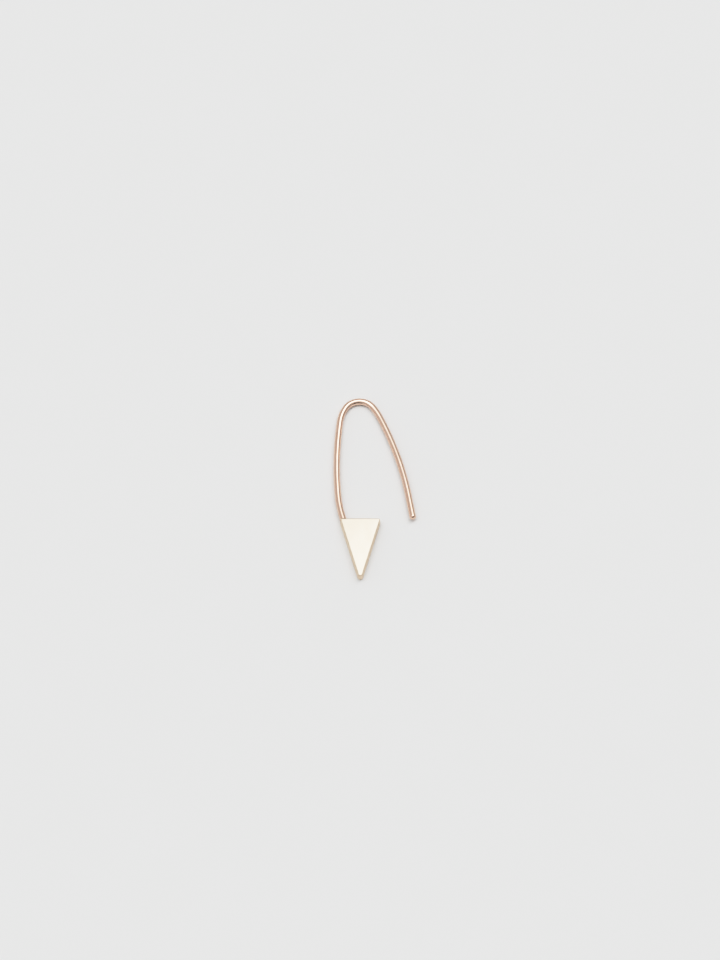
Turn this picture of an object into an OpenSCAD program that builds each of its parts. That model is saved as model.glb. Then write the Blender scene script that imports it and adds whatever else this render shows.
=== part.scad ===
// An open safety pin earring: a bent round ear wire, soldered into the top edge
// of a thick triangular drop. It lies on its back on the plane Z = 0.
// +Y runs from the drop's tip to the crown of the wire, +X towards the free leg.

/* [Ear wire] */
// Diameter of the round wire
wire_d = 0.88; // [0.65:0.01:0.95]
// Radius of the crown, the tightest bend, to the middle of the wire
crown_r = 2.25; // [1.8:0.05:2.8]
// Length of the straight end that goes through the ear
end_l = 3.7; // [2:0.1:6]
// Lean of the wire where it leaves the drop, nearly in line with the drop's side
foot_lean = 18; // [12:0.5:22]
// Radius of the rounded nose on the free end
nose_r = 0.5; // [0.48:0.01:0.7]

/* [Drop] */
// Width of the drop along its top edge
drop_w = 5.45; // [4:0.05:7]
// Height of the drop, from its top edge to its blunt tip
drop_h = 8.5; // [7:0.1:12]
// Thickness of the drop
drop_t = 1.4; // [1.1:0.05:2]
// Width of the small flat that blunts the tip
tip_w = 0.6; // [0.2:0.05:1]

/* [Soldered joint] */
// Distance from the drop's corner to the middle of the wire, along the top edge
foot_inset = 0.53; // [0.5:0.01:1.5]
// Depth that the wire is let into the drop
seat_l = 1; // [0.6:0.1:2]
// Width of the solder's fillet round the foot of the wire
solder_w = 0.07; // [0.04:0.01:0.15]
// Height of the solder's fillet above the drop's top edge
solder_h = 0.12; // [0.05:0.01:0.3]

/* [Hidden] */
$fn = 72;

wire_r = wire_d / 2;

// The first bend takes out all but the last of the wire's lean
back_lean = 4.4;

// Bends of the ear wire, from the drop round to the straight end.
// The columns are the radius of the wire's middle and the angle turned.
RADIUS = 0;
TURN = 1;
bends = [
    [17, foot_lean - back_lean], // foot
    [55, 11.5], // back leg
    [5.2, 23.5], // back shoulder
    [crown_r, 114], // crown
    [10, 10.4], // front shoulder
    [48, 12], // free leg
    [42, 3.1], // free leg, near its straight end
];
BACK_LEG = 1;
CROWN = 3;

// Every other bend is a hair thinner, so that its ends sink into the thicker
// stretches beside it and the wire is one solid
hair = 0.012;
lap = 0.15;

// The solder's base is sunk this far into the drop
solder_sink = 0.02;

// The path lies in the wire's own plane, from the middle of the drop's top edge.
// A heading is clockwise from +Y, and every bend turns clockwise.
foot = [foot_inset - drop_w / 2, 0];
function along(h) = [sin(h), cos(h)];
function inward(h) = [cos(h), -sin(h)];
function heading(i) = i == 0 ? -foot_lean : heading(i - 1) + bends[i - 1][TURN];
function centre(i) = bend_start(i) + bends[i][RADIUS] * inward(heading(i));
function bend_start(i) =
    i == 0 ? foot : centre(i - 1) - bends[i - 1][RADIUS] * inward(heading(i));
function is_thin(i) = i % 2 == 0;
function turn_over(length, radius) = length / radius * 180 / PI;

end_heading = heading(len(bends));
end_start = bend_start(len(bends));
crown_reach = centre(CROWN).y + crown_r;

// The wire starts at the middle of the drop's thickness, and slopes down until
// the crown rests on the same plane as the back of the drop
slope = asin((drop_t / 2 - wire_r) / crown_reach);

// Outer limits of the whole earring, for its origin below the middle of its box
nose_l = nose_r - sqrt(pow(nose_r, 2) - pow(wire_r, 2));
nose_rim = end_start + (end_l - nose_l) * along(end_heading);
x_low = centre(BACK_LEG).x - bends[BACK_LEG][RADIUS] - wire_r;
x_high = nose_rim.x - wire_r * cos(end_heading);
y_low = -drop_h;
y_high = crown_reach * cos(slope) + wire_r;
middle = [(x_low + x_high) / 2, (y_low + y_high) / 2];

// One bend of the wire, of which the first starts inside the drop
module bend(i) {
    radius = bends[i][RADIUS];
    after = turn_over(is_thin(i) ? lap : 0, radius);
    before = i == 0 ? turn_over(seat_l, radius) : after;
    translate(centre(i))
        rotate_extrude(
            start = 180 - heading(i + 1) - after,
            angle = before + bends[i][TURN] + after
        )
            translate([radius, 0])
                circle(r = wire_r - (is_thin(i) ? hair : 0));
}

module straight_end() {
    translate(end_start)
        rotate([-90, 0, -end_heading])
            difference() {
                cylinder(h = end_l, r = wire_r);
                translate([0, 0, end_l - nose_r])
                    difference() {
                        cylinder(h = 2 * nose_r, r = 2 * nose_r);
                        sphere(r = nose_r);
                    }
            }
}

module ear_wire() {
    color("burlywood")
        rotate([-slope, 0, 0]) {
            for (i = [0 : len(bends) - 1]) bend(i);
            straight_end();
        }
}

module solder() {
    color("tan")
        translate([foot.x, foot.y - solder_sink, 0])
            rotate([-90, 0, 0])
                cylinder(h = solder_sink + solder_h, r1 = wire_r + solder_w, r2 = wire_r);
}

module triangle_drop() {
    color("wheat")
        translate([0, 0, -drop_t / 2])
            linear_extrude(height = drop_t)
                polygon([
                    [-drop_w / 2, 0],
                    [drop_w / 2, 0],
                    [tip_w / 2, -drop_h],
                    [-tip_w / 2, -drop_h],
                ]);
}

module earring() {
    translate([-middle.x, -middle.y, drop_t / 2]) {
        ear_wire();
        solder();
        triangle_drop();
    }
}

earring();
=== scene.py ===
"""An open safety pin earring: a round ear wire, bent into a long open loop and soldered
into the top edge of a thick triangular drop. It lies on its back on a plain pale floor.

Everything is in metres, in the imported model's frame: +Y runs from the drop's tip to the
crown of the wire, +X from the soldered leg to the free leg, and the floor is at Z = 0.
"""
import math

import bmesh
import bpy
from mathutils import Matrix, Vector


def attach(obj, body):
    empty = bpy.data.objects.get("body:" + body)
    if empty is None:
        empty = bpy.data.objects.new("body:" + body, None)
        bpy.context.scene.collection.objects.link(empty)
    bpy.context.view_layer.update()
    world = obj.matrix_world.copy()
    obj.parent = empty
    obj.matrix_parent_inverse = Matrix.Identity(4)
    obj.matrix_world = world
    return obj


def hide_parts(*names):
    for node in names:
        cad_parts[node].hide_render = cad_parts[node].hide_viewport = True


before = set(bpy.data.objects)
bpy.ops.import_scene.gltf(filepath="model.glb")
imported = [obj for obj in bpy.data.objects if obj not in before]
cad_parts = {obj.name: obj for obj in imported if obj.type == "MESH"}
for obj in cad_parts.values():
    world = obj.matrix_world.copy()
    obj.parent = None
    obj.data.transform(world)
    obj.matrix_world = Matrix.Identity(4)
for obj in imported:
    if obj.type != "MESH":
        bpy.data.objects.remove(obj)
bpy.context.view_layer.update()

MM = 0.001

# Ear wire
WIRE_R = 0.44 * MM
CROWN_R = 2.25 * MM
END_L = 3.7 * MM  # its straight end, with the nose
NOSE_R = 0.5 * MM
NOSE_BLEND_R = 0.25 * MM  # the rounding between the nose and the straight end

# Drop
DROP_W = 5.45 * MM
DROP_H = 8.5 * MM
DROP_T = 1.4 * MM
TIP_W = 0.6 * MM  # how far apart its long sides are at the height of its tip
SIDE_LEAN = math.atan2((DROP_W - TIP_W) / 2, DROP_H)
DRAFT = 0.07 * MM  # how much narrower its front is than its back, on each long side
SHOULDER_R = 0.16 * MM  # its two top corners, seen from the front
EDGE_R = 0.14 * MM  # the rounding of its front and back edges
CROWNING = 0.07 * MM  # how far its bulged front has fallen off at its top corners

# Soldered joint
FOOT_INSET = 0.53 * MM  # from the drop's corner to the middle of the wire
SEAT_L = 0.3 * MM  # how deep the wire is let into the drop
SOLDER_W = 0.11 * MM
SOLDER_H = 0.17 * MM
SOLDER_SUNK = 0.01 * MM  # how deep its edges lie in the wire and in the drop
CORNER_SHARE = 0.6  # how much of the room beside the drop's corner it may fill

# Bends of the ear wire, from the drop round to the straight end, as (radius, turn)
FOOT_LEAN = math.radians(18)
BACK_LEAN = math.radians(4.4)
BENDS = (
    (17 * MM, FOOT_LEAN - BACK_LEAN),  # foot
    (55 * MM, math.radians(11.5)),  # back leg
    (5.2 * MM, math.radians(23.5)),  # back shoulder
    (CROWN_R, math.radians(114)),  # crown
    (10 * MM, math.radians(10.4)),  # front shoulder
    (48 * MM, math.radians(12)),  # free leg
    (42 * MM, math.radians(3.1)),  # free leg, near its straight end
)
BACK_LEG = 1  # its place in the table
CROWN = 3  # its place in the table

# How finely the shapes are cut
WIRE_SIDES = 64
WIRE_STEP = 0.25 * MM
WIRE_TURN_STEP = math.radians(2)
ARC_STEPS = 10
SIDE_STEPS = 30
WALL_STEPS = 8
FACE_STEPS = 24
FACE_SPREAD = 1.5  # above one, the rings of the drop's faces lie closer near their edge
FACE_END = 0.995  # how far the last of those rings has shrunk towards the middle
SOLDER_STEPS = 10

# Photograph: an image of 720 x 960, with a millimetre 7.53 pixels wide at the earring
IMAGE_SIZE = Vector((720, 960))
PIXELS_PER_M = 7.53 / MM
ORIGIN_PIXEL = Vector((374.65, 489.44))
CAMERA_ELEVATION = math.radians(62)
CAMERA_LENS = 200
SENSOR = 36

# Detail of the gold, as sizes across its grain both ways and along it
LINE_SIZE = (0.03 * MM, 0.03 * MM, 5 * MM)
WAVE_SIZE = (0.9 * MM, 0.9 * MM, 1.8 * MM)
PATCH_SIZE = (1.1 * MM, 1.1 * MM, 2.5 * MM)

# Where in its noise the gloss and the tone change, and how fast a tone's channels darken
GLOSS_RANGE = (0.3, 0.7)
PATCH_RANGE = (0.35, 0.65)
DARKENING = (0.7, 1, 1.3)

# Floor
FLOOR_SIZE = 3
FLOOR_WHITE = (0.84, 0.845, 0.84)
CLOUD_SIZE = 9 * MM
TOOTH_SIZE = 0.25 * MM
TOOTH_H = 0.01 * MM

# Softbox, whose place and half size are those at a height of one
SOFTBOX_BRIGHTNESS = 3.7
SOFTBOX_AXIS = math.radians(26)
SOFTBOX_MIDDLE = Vector((0.08, 0.25))
SOFTBOX_LENGTH = 0.86
SOFTBOX_WIDTH = 0.34
LEAST_HEIGHT = 0.02  # of a direction, so that its place in the softbox's plane is finite

# Studio, with a paler side and a small dark side: it is all dark out to the inner angle from
# its middle, and fades out by the outer one
ROOM_GREY = 0.55
PALE_SIDE = math.radians(180)
PALE_GAIN = 0.12
DARK_SIDE = math.radians(284)
DARK_HEIGHT = math.radians(5)
DARK_INNER = math.radians(24)
DARK_OUTER = math.radians(38)
DARK_GREY = 0.03

# Tone curve, which is straight up to its knee
TONE_KNEE = 0.5
TONE_TOP = 5
TONE_STEPS = 12
TONE_SPREAD = 1.6  # above one, its points lie closer near its knee


# The wire's path, in its own plane, from the middle of the drop's top edge. A heading
# is clockwise from +Y, and every bend turns clockwise.
def along(heading):
    return Vector((math.sin(heading), math.cos(heading)))


def inward(heading):
    return Vector((math.cos(heading), -math.sin(heading)))


def bend_point(start, heading, radius, new_heading):
    """Where a bend that starts there has turned to the new heading."""
    return start + radius * inward(heading) - radius * inward(new_heading)


def bend_starts():
    """Where each bend starts and its heading there, and then the same for the straight end."""
    starts = [(Vector((FOOT_INSET - DROP_W / 2, 0)), -FOOT_LEAN)]
    for radius, turn in BENDS:
        point, heading = starts[-1]
        starts.append((bend_point(point, heading, radius, heading + turn), heading + turn))
    return starts


STARTS = bend_starts()


def bend_centre(index):
    start, heading = STARTS[index]
    return start + BENDS[index][0] * inward(heading)


CROWN_REACH = bend_centre(CROWN).y + CROWN_R
SLOPE = math.asin((DROP_T / 2 - WIRE_R) / CROWN_REACH)


def middle_of_box():
    """Middle of the earring's box, seen from the front, in the path's own frame."""
    end_start, end_heading = STARTS[-1]
    nose_l = NOSE_R - math.sqrt(NOSE_R**2 - WIRE_R**2)
    nose_rim = end_start + (END_L - nose_l) * along(end_heading)
    x_low = bend_centre(BACK_LEG).x - BENDS[BACK_LEG][0] - WIRE_R
    x_high = nose_rim.x - WIRE_R * math.cos(end_heading)
    y_low = -DROP_H
    y_high = CROWN_REACH * math.cos(SLOPE) + WIRE_R
    return Vector(((x_low + x_high) / 2, (y_low + y_high) / 2, 0))


TO_PART = Matrix.Translation(Vector((0, 0, DROP_T / 2)) - middle_of_box())
WIRE_TO_PART = TO_PART @ Matrix.Rotation(-SLOPE, 4, "X")


# Mesh code
def rings_mesh(rings, closed_loop=False):
    """Skins a list of rings, all with the same number of points. The first and last rings
    are closed with a fan round their middles, unless the rings join up in a loop."""
    bm = bmesh.new()
    rows = [[bm.verts.new(p) for p in ring] for ring in rings]
    count = len(rings[0])
    pairs = list(zip(rows, rows[1:]))
    if closed_loop:
        pairs.append((rows[-1], rows[0]))
    for low, high in pairs:
        for i in range(count):
            j = (i + 1) % count
            bm.faces.new((low[i], low[j], high[j], high[i]))
    if not closed_loop:
        for row, flip in ((rows[0], True), (rows[-1], False)):
            middle = bm.verts.new(sum((v.co for v in row), Vector()) / count)
            for i in range(count):
                pair = (row[i], row[(i + 1) % count])
                bm.faces.new((*(reversed(pair) if flip else pair), middle))
    bmesh.ops.recalc_face_normals(bm, faces=bm.faces)
    return bm


def add_piece(name, bm, material, grain=None):
    """A shaded object on the earring's one body, finished from its one material slot.

    Its grain attribute is each vertex's place for the material, with the grain along Z. On a
    piece that states none, the grain runs along the earring."""
    mesh = bpy.data.meshes.new(name)
    bm.to_mesh(mesh)
    bm.free()
    mesh.polygons.foreach_set("use_smooth", [True] * len(mesh.polygons))
    mesh.materials.append(material)
    if grain is None:
        grain = [(v.co.x, v.co.z, v.co.y) for v in mesh.vertices]
    attribute = mesh.attributes.new("grain", "FLOAT_VECTOR", "POINT")
    attribute.data.foreach_set("vector", [value for place in grain for value in place])
    piece = bpy.data.objects.new(name, mesh)
    bpy.context.scene.collection.objects.link(piece)
    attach(piece, "root")
    return piece


# Ear wire
def wire_stations():
    """Points along the wire's middle, as (point, heading), from inside the drop to the straight
    end."""
    foot, heading = STARTS[0]
    radius = BENDS[0][0]
    seat_heading = heading - SEAT_L / radius
    stations = [(bend_point(foot, heading, radius, seat_heading), seat_heading)]
    for (start, heading), (radius, turn) in zip(STARTS, BENDS):
        steps = math.ceil(max(turn / WIRE_TURN_STEP, radius * turn / WIRE_STEP))
        for i in range(steps):
            new_heading = heading + turn * i / steps
            stations.append((bend_point(start, heading, radius, new_heading), new_heading))
    return stations


def nose_profile():
    """(distance along the straight end, radius) from its start round the domed nose."""
    dome_centre = END_L - NOSE_R
    blend_in = WIRE_R - NOSE_BLEND_R
    blend_out = math.sqrt((NOSE_R - NOSE_BLEND_R) ** 2 - blend_in**2)
    dome_angle = math.atan2(blend_in, blend_out)
    straight = dome_centre + blend_out
    steps = math.ceil(straight / WIRE_STEP)
    profile = [(straight * i / steps, WIRE_R) for i in range(steps)]
    for i in range(ARC_STEPS):
        a = (math.pi / 2 - dome_angle) * i / ARC_STEPS
        distance = straight + NOSE_BLEND_R * math.sin(a)
        profile.append((distance, blend_in + NOSE_BLEND_R * math.cos(a)))
    for i in range(ARC_STEPS):
        a = dome_angle * (1 - i / ARC_STEPS)
        profile.append((dome_centre + NOSE_R * math.cos(a), NOSE_R * math.sin(a)))
    return profile


def circle(radius):
    angles = (math.tau * i / WIRE_SIDES for i in range(WIRE_SIDES))
    return [radius * Vector((math.cos(a), math.sin(a))) for a in angles]


def add_ear_wire(material):
    end_start, end_heading = STARTS[-1]
    stations = [(point, heading, WIRE_R) for point, heading in wire_stations()]
    for distance, radius in nose_profile():
        stations.append((end_start + distance * along(end_heading), end_heading, radius))
    rings = []
    grain = []
    distance = 0
    last_point = stations[0][0]
    for point, heading, radius in stations:
        distance += (point - last_point).length
        last_point = point
        side = inward(heading).to_3d()
        spokes = circle(radius)
        ring = [point.to_3d() + p.x * side + Vector((0, 0, p.y)) for p in spokes]
        rings.append([WIRE_TO_PART @ p for p in ring])
        grain += [(p.x, p.y, distance) for p in spokes]
    middles_of_ends = [(0, 0, 0), (0, 0, distance)]
    wire = add_piece("ear_wire", rings_mesh(rings), material, grain + middles_of_ends)
    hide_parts("earring")


# Triangular drop
def drop_corners(front):
    """The drop's corners before they are rounded, with the radius of each, at its front or back.
    The tip's radius is the one that ends it at the drop's height."""
    half_w = DROP_W / 2
    if front:
        half_w -= DRAFT / math.cos(SIDE_LEAN)
    point_y = -half_w / math.tan(SIDE_LEAN)
    tip_r = (-point_y - DROP_H) / (1 / math.sin(SIDE_LEAN) - 1)
    return (
        (Vector((-half_w, 0)), SHOULDER_R),
        (Vector((0, point_y)), tip_r),
        (Vector((half_w, 0)), SHOULDER_R),
    )


def drop_outline(front, inset):
    """The drop's rounded outline, that far in from its edge, anticlockwise from its left corner."""
    corners = drop_corners(front)
    arcs = []
    for i, (corner, radius) in enumerate(corners):
        to_last = (corners[i - 1][0] - corner).normalized()
        to_next = (corners[(i + 1) % len(corners)][0] - corner).normalized()
        half = to_last.angle(to_next) / 2
        centre = corner + (to_last + to_next).normalized() * radius / math.sin(half)
        spoke = Vector((to_last.y, -to_last.x)) * (inset - radius)
        turns = [(math.pi - 2 * half) * k / ARC_STEPS for k in range(ARC_STEPS + 1)]
        arcs.append([centre + Matrix.Rotation(turn, 2) @ spoke for turn in turns])
    outline = []
    for arc, next_arc in zip(arcs, arcs[1:] + arcs[:1]):
        outline += arc
        outline += [arc[-1].lerp(next_arc[0], k / SIDE_STEPS) for k in range(1, SIDE_STEPS)]
    return outline


def drop_middle(front):
    """Middle of the circle that touches all three of the drop's sides."""
    (left, _), (tip, _), (right, _) = drop_corners(front)
    right_side, top_side, left_side = (tip - right).length, (right - left).length, (left - tip).length
    weighted = right_side * left + top_side * tip + left_side * right
    return weighted / (right_side + top_side + left_side)


def edge_fall(inset):
    """How far the rounded edge lies below the face, at that distance in from the outline."""
    if inset >= EDGE_R:
        return 0
    return EDGE_R - math.sqrt(EDGE_R**2 - (EDGE_R - inset) ** 2)


def crown_fall(point):
    """How far the bulged front has fallen off from its highest place."""
    x = point.x / (DROP_W / 2)
    y = (point.y + DROP_H / 2) / (DROP_H / 2)
    return CROWNING * (x**2 + y**2) / 2


def drop_ring(front, inset, part=0):
    """A ring of points on the drop's front or back: its outline that far in from the edge, and
    then shrunk by that part of the way to the middle."""
    middle = drop_middle(front)
    points = [middle + (p - middle) * (1 - part) for p in drop_outline(front, inset)]
    fall = edge_fall(inset)
    if front:
        return [TO_PART @ Vector((p.x, p.y, DROP_T / 2 - fall - crown_fall(p))) for p in points]
    return [TO_PART @ Vector((p.x, p.y, fall - DROP_T / 2)) for p in points]


def add_triangle_drop(material):
    """The drop, in rings from the middle of its back round its walls to the middle of its front.

    Its side attribute is 0 on its two faces and 1 on its walls, where it brings in the painted shade
    of the walls."""
    on_edge = [i / ARC_STEPS for i in range(ARC_STEPS + 1)]
    edge_insets = [EDGE_R * (1 - math.sin(math.pi / 2 * share)) for share in on_edge]
    face_parts = [FACE_END * (i / FACE_STEPS) ** FACE_SPREAD for i in range(1, FACE_STEPS + 1)]
    low, high = drop_ring(False, 0), drop_ring(True, 0)
    walls = [[a.lerp(b, k / WALL_STEPS) for a, b in zip(low, high)] for k in range(1, WALL_STEPS)]
    rings = [drop_ring(False, EDGE_R, part) for part in reversed(face_parts)]
    rings += [drop_ring(False, inset) for inset in edge_insets]
    rings += walls
    rings += [drop_ring(True, inset) for inset in reversed(edge_insets)]
    rings += [drop_ring(True, EDGE_R, part) for part in face_parts]
    drop = add_piece("triangle_drop", rings_mesh(rings), material)

    on_face = [0] * FACE_STEPS
    on_rings = on_face + on_edge + [1] * len(walls) + on_edge[::-1] + on_face
    middles_of_faces = [0, 0]
    # 1 on the walls, where their painted shade is mixed in
    wall_shade_mask = [value for value in on_rings for _ in low] + middles_of_faces
    drop.data.attributes.new("side", "FLOAT", "POINT").data.foreach_set("value", wall_shade_mask)


# Soldered joint
def add_solder_joint(material):
    """A ring of solder that runs out onto the wire and onto the drop's top edge."""
    foot, heading = STARTS[0]
    axis = WIRE_TO_PART.to_3x3() @ along(heading).to_3d()
    side = WIRE_TO_PART.to_3x3() @ inward(heading).to_3d()
    up = side.cross(axis)
    origin = WIRE_TO_PART @ foot.to_3d()
    wall_y = TO_PART.translation.y
    into_wall = Vector((0, SOLDER_SUNK, 0))
    corner_room = FOOT_INSET - WIRE_R / math.cos(FOOT_LEAN)
    corner_w = min(corner_room * CORNER_SHARE, SOLDER_W)
    columns = []
    for spoke in circle(1):
        out = spoke.x * side + spoke.y * up
        to_wall = (wall_y - (origin + WIRE_R * out).y) / axis.y
        crease = origin + WIRE_R * out + to_wall * axis
        flat_out = Vector((out.x, 0, out.z)).normalized()
        towards_corner = max(0, -flat_out.x)
        width = SOLDER_W + (corner_w - SOLDER_W) * towards_corner**2
        top = crease + SOLDER_H * axis
        bottom = crease + width * flat_out
        column = []
        for k in range(SOLDER_STEPS + 1):
            t = k / SOLDER_STEPS
            column.append(top * (1 - t) ** 2 + crease * 2 * t * (1 - t) + bottom * t**2)
        column[0] = column[0] - SOLDER_SUNK * out
        column.append(bottom - into_wall)
        column.append(crease - SOLDER_SUNK * out - into_wall)
        columns.append(column)
    rings = [list(ring) for ring in zip(*columns)]
    add_piece("solder_joint", rings_mesh(rings, closed_loop=True), material)


# Materials
def add_node(tree, kind, inputs=None, **settings):
    """A new node, with each of its inputs, by name or number, set or linked where the value is
    a socket."""
    node = tree.nodes.new(kind)
    for name, value in settings.items():
        setattr(node, name, value)
    for name, value in (inputs or {}).items():
        if isinstance(value, bpy.types.NodeSocket):
            tree.links.new(value, node.inputs[name])
        else:
            node.inputs[name].default_value = value
    return node


def add_noise(tree, place, sizes, detail):
    """Noise whose lumps have these sizes along the place's three axes."""
    scale = [1 / size for size in sizes]
    scaled = add_node(tree, "ShaderNodeMapping", {"Vector": place, "Scale": scale}).outputs[0]
    inputs = {"Vector": scaled, "Scale": 1, "Detail": detail}
    return add_node(tree, "ShaderNodeTexNoise", inputs).outputs[0]


def add_range(tree, value, from_range, to_range, **settings):
    names = ("From Min", "From Max", "To Min", "To Max")
    inputs = {"Value": value, **dict(zip(names, (*from_range, *to_range)))}
    return add_node(tree, "ShaderNodeMapRange", inputs, **settings).outputs["Result"]


def add_tones(tree, value, base, change):
    """A colour that goes from a darker and redder tone of the base to the base itself."""
    darker = [channel * (1 - change * weight) for channel, weight in zip(base, DARKENING)]
    node = add_node(tree, "ShaderNodeValToRGB", {"Fac": value})
    for element, position, colour in zip(node.color_ramp.elements, PATCH_RANGE, (darker, base)):
        element.position = position
        element.color = (*colour, 1)
    return node.outputs["Color"]


def add_colour_mix(tree, share, first, second):
    """A colour from the first to the second. The node's colour sockets are its inputs 6 and 7 and
    its output 2."""
    mix = add_node(tree, "ShaderNodeMix", {0: share, 6: first, 7: second}, data_type="RGBA")
    return mix.outputs[2]


def gold_material(name, base, roughness, line_h, wave_h, wall_shade_base=None):
    """Gold with fine lines along its grain, gentle waves, and small changes of tone and gloss.
    Its walls may have a base of their own: a warmer tone that paints in the shade of the floor they
    reflect."""
    material = bpy.data.materials.new(name)
    material.use_nodes = True
    tree = material.node_tree
    shader = tree.nodes["Principled BSDF"]
    shader.inputs["Metallic"].default_value = 1
    place = add_node(tree, "ShaderNodeAttribute", attribute_name="grain").outputs["Vector"]
    lines = add_noise(tree, place, LINE_SIZE, detail=3)
    waves = add_noise(tree, place, WAVE_SIZE, detail=1)
    patches = add_noise(tree, place, PATCH_SIZE, detail=4)

    colour = add_tones(tree, patches, base, change=0.06)
    # Painted shade: the walls get a warmer tone of their own, mixed in by the side attribute, standing
    # for the shaded floor they reflect
    if wall_shade_base:
        side = add_node(tree, "ShaderNodeAttribute", attribute_name="side").outputs["Fac"]
        wall_shade_colour = add_tones(tree, patches, wall_shade_base, change=0.1)
        colour = add_colour_mix(tree, side, colour, wall_shade_colour)
    tree.links.new(colour, shader.inputs["Base Color"])
    tree.links.new(add_range(tree, lines, GLOSS_RANGE, roughness), shader.inputs["Roughness"])
    scratched = add_node(tree, "ShaderNodeBump", {
        "Height": lines,
        "Strength": 1,
        "Distance": line_h,
    })
    waved = add_node(tree, "ShaderNodeBump", {
        "Height": waves,
        "Strength": 1,
        "Distance": wave_h,
        "Normal": scratched.outputs[0],
    })
    tree.links.new(waved.outputs[0], shader.inputs["Normal"])
    return material


def wire_gold():
    """Polished rosy gold."""
    return gold_material(
        "wire_gold",
        base=(0.85, 0.595, 0.465),
        roughness=(0.035, 0.07),
        line_h=0.0008 * MM,
        wave_h=0.012 * MM,
    )


def drop_gold():
    """Satin pale gold, with warmer walls: a painted shade standing for the shaded floor they reflect.
    """
    return gold_material(
        "drop_gold",
        base=(0.715, 0.62, 0.495),
        roughness=(0.35, 0.39),
        line_h=0.0003 * MM,
        wave_h=0.006 * MM,
        # painted shade of the walls, for the shaded floor they reflect
        wall_shade_base=(0.83, 0.67, 0.51),
    )


def solder_gold():
    """Rosy gold, a little duller than the wire."""
    return gold_material(
        "solder_gold",
        base=(0.84, 0.61, 0.45),
        roughness=(0.11, 0.22),
        line_h=0.0008 * MM,
        wave_h=0.01 * MM,
    )


def floor_board():
    """Matt white board with a faint tooth and faint clouds."""
    material = bpy.data.materials.new("floor_board")
    material.use_nodes = True
    tree = material.node_tree
    shader = tree.nodes["Principled BSDF"]
    shader.inputs["Roughness"].default_value = 0.9
    shader.inputs["Specular IOR Level"].default_value = 0
    place = add_node(tree, "ShaderNodeTexCoord").outputs["Object"]
    clouds = add_noise(tree, place, [CLOUD_SIZE] * 3, detail=3)
    tooth = add_noise(tree, place, [TOOTH_SIZE] * 3, detail=2)
    tree.links.new(add_tones(tree, clouds, FLOOR_WHITE, change=0.006), shader.inputs["Base Color"])
    bump = add_node(tree, "ShaderNodeBump", {
        "Height": tooth,
        "Strength": 0.4,
        "Distance": TOOTH_H,
    })
    tree.links.new(bump.outputs[0], shader.inputs["Normal"])
    return material


# Stage
def add_floor(material):
    bm = bmesh.new()
    bmesh.ops.create_grid(bm, x_segments=1, y_segments=1, size=FLOOR_SIZE / 2)
    mesh = bpy.data.meshes.new("floor")
    bm.to_mesh(mesh)
    bm.free()
    mesh.materials.append(material)
    floor = bpy.data.objects.new("floor", mesh)
    bpy.context.scene.collection.objects.link(floor)


def add_camera():
    """Looks down at the earring from beyond the drop's tip."""
    right = Vector((1, 0, 0))
    back = Vector((0, -math.cos(CAMERA_ELEVATION), math.sin(CAMERA_ELEVATION)))
    up = back.cross(right)
    shift = (IMAGE_SIZE / 2 - ORIGIN_PIXEL) / PIXELS_PER_M
    distance = IMAGE_SIZE.y / PIXELS_PER_M * CAMERA_LENS / SENSOR
    data = bpy.data.cameras.new("camera")
    data.lens = CAMERA_LENS
    data.sensor_width = SENSOR
    data.clip_start = 0.01
    data.clip_end = 10
    camera = bpy.data.objects.new("camera", data)
    place = Matrix.Translation(shift.x * right - shift.y * up + distance * back)
    camera.matrix_world = place @ Matrix((right, up, back)).transposed().to_4x4()
    bpy.context.scene.collection.objects.link(camera)
    bpy.context.scene.camera = camera


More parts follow.
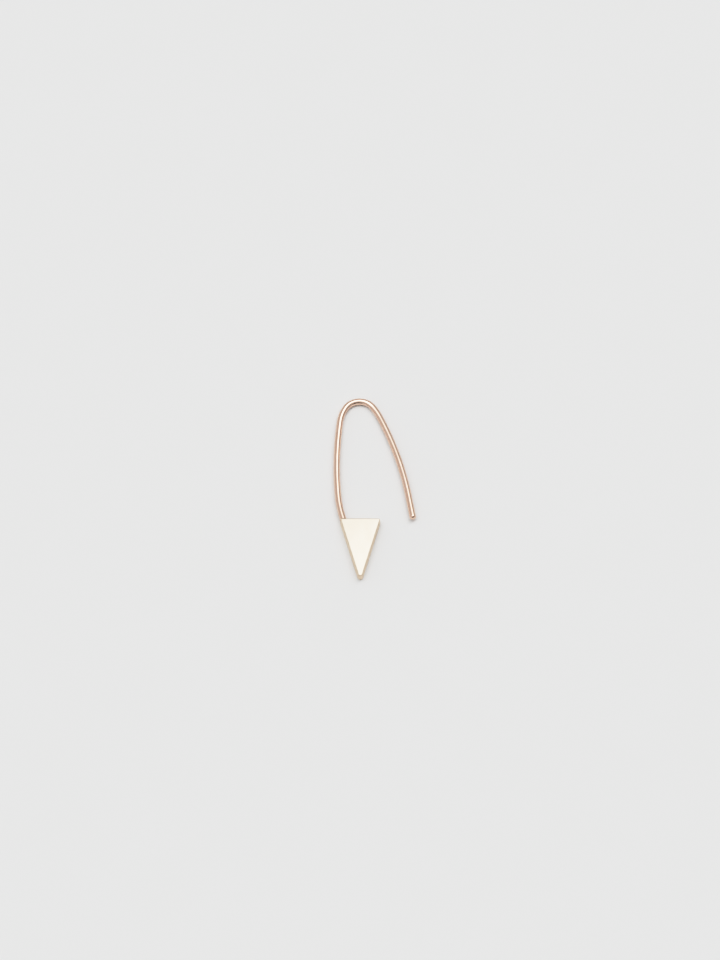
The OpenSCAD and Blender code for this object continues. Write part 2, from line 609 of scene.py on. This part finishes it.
def set_world():
    """A long soft light overhead, in a grey studio with a paler side and a small dark side."""
    world = bpy.data.worlds.new("studio")
    world.use_nodes = True
    tree = world.node_tree
    direction = add_node(tree, "ShaderNodeTexCoord").outputs["Generated"]

    def calculate(operation, *values):
        inputs = dict(enumerate(values))
        return add_node(tree, "ShaderNodeMath", inputs, operation=operation).outputs[0]

    def towards(x, y, z):
        """How far the direction points that way."""
        inputs = {0: direction, 1: (x, y, z)}
        return add_node(tree, "ShaderNodeVectorMath", inputs, operation="DOT_PRODUCT").outputs["Value"]

    height = calculate("MAXIMUM", towards(0, 0, 1), LEAST_HEIGHT)

    def fade(way, size):
        """How far from the softbox's middle the direction points, squared, in the softbox's
        size that way."""
        place = calculate("DIVIDE", towards(way.x / size, way.y / size, 0), height)
        return calculate("POWER", calculate("SUBTRACT", place, SOFTBOX_MIDDLE.dot(way) / size), 2)

    axis = Vector((math.cos(SOFTBOX_AXIS), math.sin(SOFTBOX_AXIS)))
    faded = calculate("ADD", fade(axis, SOFTBOX_LENGTH), fade(axis.orthogonal(), SOFTBOX_WIDTH))
    faded = calculate("MULTIPLY", calculate("POWER", faded, 2), -1)
    softbox = calculate("MULTIPLY", calculate("EXPONENT", faded), SOFTBOX_BRIGHTNESS)

    pale = towards(math.cos(PALE_SIDE) * PALE_GAIN, math.sin(PALE_SIDE) * PALE_GAIN, 0)
    room = calculate("ADD", pale, ROOM_GREY)
    dark = Vector((math.cos(DARK_SIDE), math.sin(DARK_SIDE), math.tan(DARK_HEIGHT))).normalized()
    edge = (math.cos(DARK_OUTER), math.cos(DARK_INNER))
    greys = (room, DARK_GREY)
    studio = add_range(tree, towards(*dark), edge, greys, interpolation_type="SMOOTHSTEP")

    background = tree.nodes["Background"]
    background.inputs["Color"].default_value = (1, 1, 1, 1)
    tree.links.new(calculate("ADD", softbox, studio), background.inputs["Strength"])
    bpy.context.scene.world = world


def set_tone():
    """A plain view with a soft shoulder, so that bright gold keeps its colour as on a photograph."""
    view = bpy.context.scene.view_settings
    view.view_transform = "Standard"
    view.use_curve_mapping = True
    mapping = view.curve_mapping
    mapping.clip_max_x = TONE_TOP
    mapping.extend = "HORIZONTAL"
    room = 1 - TONE_KNEE
    red_green_blue = mapping.curves[:3]
    for curve in red_green_blue:
        curve.points[1].location = (TONE_KNEE, TONE_KNEE)
        for i in range(1, TONE_STEPS + 1):
            light = TONE_KNEE + (TONE_TOP - TONE_KNEE) * (i / TONE_STEPS) ** TONE_SPREAD
            curve.points.new(light, 1 - room * math.exp((TONE_KNEE - light) / room))
    mapping.update()


add_camera()
add_floor(floor_board())
set_world()
set_tone()

add_ear_wire(wire_gold())
add_triangle_drop(drop_gold())
add_solder_joint(solder_gold())
